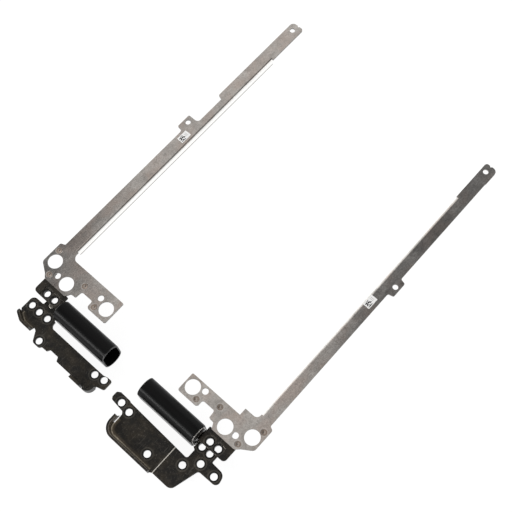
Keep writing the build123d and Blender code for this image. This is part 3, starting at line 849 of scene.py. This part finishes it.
def add_floor(colour):
    """A wide plain floor. To the camera it glows nearly white and keeps a soft trace of the pair's
    shadow, and in what mirrors it, it is all glow."""
    deselect()
    bpy.ops.mesh.primitive_plane_add(size=3.0, location=(0.0, 0.0, 0.0))
    floor = bpy.context.view_layer.objects.active
    floor.name = "floor"
    material = bpy.data.materials.new("plain floor")
    material.use_nodes = True
    tree = material.node_tree
    tree.nodes.clear()
    output = tree.nodes.new("ShaderNodeOutputMaterial")
    diffuse = tree.nodes.new("ShaderNodeBsdfDiffuse")
    diffuse.inputs["Color"].default_value = (*colour, 1.0)
    glow = tree.nodes.new("ShaderNodeEmission")
    glow.inputs["Color"].default_value = (1.0, 1.0, 1.0, 1.0)
    glow.inputs["Strength"].default_value = FLOOR_GLOW
    path = tree.nodes.new("ShaderNodeLightPath")
    seen = tree.nodes.new("ShaderNodeMath")
    seen.operation = "MULTIPLY"
    seen.inputs[1].default_value = FLOOR_SEEN
    tree.links.new(path.outputs["Is Camera Ray"], seen.inputs[0])
    mirrored = tree.nodes.new("ShaderNodeMath")
    mirrored.operation = "MAXIMUM"
    tree.links.new(path.outputs["Is Glossy Ray"], mirrored.inputs[0])
    tree.links.new(path.outputs["Is Transmission Ray"], mirrored.inputs[1])
    share = tree.nodes.new("ShaderNodeMath")
    share.operation = "MAXIMUM"
    tree.links.new(seen.outputs[0], share.inputs[0])
    tree.links.new(mirrored.outputs[0], share.inputs[1])
    mix = tree.nodes.new("ShaderNodeMixShader")
    tree.links.new(share.outputs[0], mix.inputs[0])
    tree.links.new(diffuse.outputs[0], mix.inputs[1])
    tree.links.new(glow.outputs[0], mix.inputs[2])
    tree.links.new(mix.outputs[0], output.inputs["Surface"])
    floor.data.materials.append(material)


def add_world():
    """White round the horizon and dimmer overhead, as in a room with white walls."""
    world = bpy.data.worlds.new("studio")
    bpy.context.scene.world = world
    world.use_nodes = True
    tree = world.node_tree
    background = tree.nodes["Background"]
    where = tree.nodes.new("ShaderNodeTexCoord")
    split = tree.nodes.new("ShaderNodeSeparateXYZ")
    tree.links.new(where.outputs["Generated"], split.inputs[0])
    ramp = tree.nodes.new("ShaderNodeValToRGB")
    tree.links.new(split.outputs["Z"], ramp.inputs["Fac"])
    s = settings().stage
    for stop, height, level in zip(ramp.color_ramp.elements, (0.25, 0.88), (s.horizon, s.zenith)):
        stop.position, stop.color = height, (level, level, level, 1.0)
    tree.links.new(ramp.outputs["Color"], background.inputs["Color"])
    background.inputs["Strength"].default_value = 1.0


def add_lamps():
    """A slanting warm strip overhead, mirrored in the silver sheet, a narrow bright strip in front,
    mirrored in the barrels, and two large soft panels at the left and at the back."""
    strip = add_panel("overhead strip", (-0.211, 0.152, 0.60), (-0.211, 0.152, 0.0), (0.265, 1.6), 0.52, 30.7)
    strip.data.color = (1.0, 0.95, 0.91)
    add_panel("front strip", (-0.213, -0.735, 0.395), (0.0, -0.0656, 0.01), (0.5, 0.20), 10.0)
    add_panel("left panel", (-0.95, -0.15, 0.55), (0.0, 0.0, 0.0), (1.6, 1.0), 0.8)
    add_panel("back panel", (0.45, 0.95, 0.60), (0.0, 0.0, 0.0), (1.6, 1.0), 0.8)


def add_panel(name, place, target, size, glow, turn=0.0):
    """One soft rectangular lamp that faces a target, turned in its own plane by some degrees; a glow of
    1 is as bright as white paper in full light."""
    deselect()
    bpy.ops.object.light_add(type="AREA", location=place)
    lamp = bpy.context.view_layer.objects.active
    lamp.name = name
    lamp.data.shape = "RECTANGLE"
    lamp.data.size, lamp.data.size_y = size
    lamp.data.energy = glow * math.pi * size[0] * size[1]
    towards = Vector(target) - Vector(place)
    facing = towards.to_track_quat("-Z", "Y").to_matrix() @ Matrix.Rotation(math.radians(turn), 3, "Z")
    lamp.rotation_euler = facing.to_euler()
    return lamp


def add_camera(s):
    """The camera at the photograph's angle, with a little roll."""
    deselect()
    bpy.ops.object.camera_add()
    camera = bpy.context.view_layer.objects.active
    camera.name = "camera"
    back = Vector((
        math.sin(s.azimuth) * math.cos(s.elevation),
        -math.cos(s.azimuth) * math.cos(s.elevation),
        math.sin(s.elevation),
    ))
    right = Vector((math.cos(s.azimuth), math.sin(s.azimuth), 0.0))
    up = back.cross(right)
    turn = Matrix.Rotation(s.roll, 3, back)
    right, up = turn @ right, turn @ up
    place = Vector(s.target) + back * s.distance
    basis = Matrix((right, up, back)).transposed().to_4x4()
    camera.matrix_world = Matrix.Translation(place) @ basis
    camera.data.sensor_width = SENSOR
    camera.data.lens = s.lens
    camera.data.clip_start = 0.01
    camera.data.clip_end = 10.0
    bpy.context.scene.camera = camera


class HingeSettings(bpy.types.PropertyGroup):
    """All settings of the hinge pair."""

    sheet: bpy.props.PointerProperty(type=SheetSettings)
    barrel: bpy.props.PointerProperty(type=BarrelSettings)
    label: bpy.props.PointerProperty(type=LabelSettings)
    stage: bpy.props.PointerProperty(type=StageSettings)


class HINGE_PT_panel(bpy.types.Panel):
    """Lists the hinge pair's steps and settings"""

    bl_label = "Laptop hinge pair"
    bl_idname = "HINGE_PT_panel"
    bl_space_type = "VIEW_3D"
    bl_region_type = "UI"
    bl_category = "Hinges"

    def draw(self, context):
        column = self.layout.column()
        for operator in OPERATORS:
            column.operator(operator.bl_idname)
        pair = context.scene.hinge_pair
        for group in (pair.sheet, pair.barrel, pair.label, pair.stage):
            box = column.box()
            for name in group.bl_rna.properties.keys():
                if name not in ("rna_type", "name"):
                    box.prop(group, name)


OPERATORS = (
    HINGE_OT_lid_brackets,
    HINGE_OT_lid_leaves,
    HINGE_OT_base_brackets,
    HINGE_OT_barrels,
    HINGE_OT_friction_stacks,
    HINGE_OT_labels,
    HINGE_OT_stage,
)
CLASSES = (
    SheetSettings, BarrelSettings, LabelSettings, StageSettings, HingeSettings, *OPERATORS, HINGE_PT_panel,
)


def register():
    for cls in CLASSES:
        bpy.utils.register_class(cls)
    bpy.types.Scene.hinge_pair = bpy.props.PointerProperty(type=HingeSettings)


def unregister():
    del bpy.types.Scene.hinge_pair
    for cls in reversed(CLASSES):
        bpy.utils.unregister_class(cls)


def main():
    register()
    bpy.ops.hinge.lid_brackets()
    bpy.ops.hinge.lid_leaves()
    bpy.ops.hinge.base_brackets()
    bpy.ops.hinge.barrels()
    bpy.ops.hinge.friction_stacks()
    bpy.ops.hinge.labels()
    bpy.ops.hinge.stage()


if __name__ == "__main__":
    main()
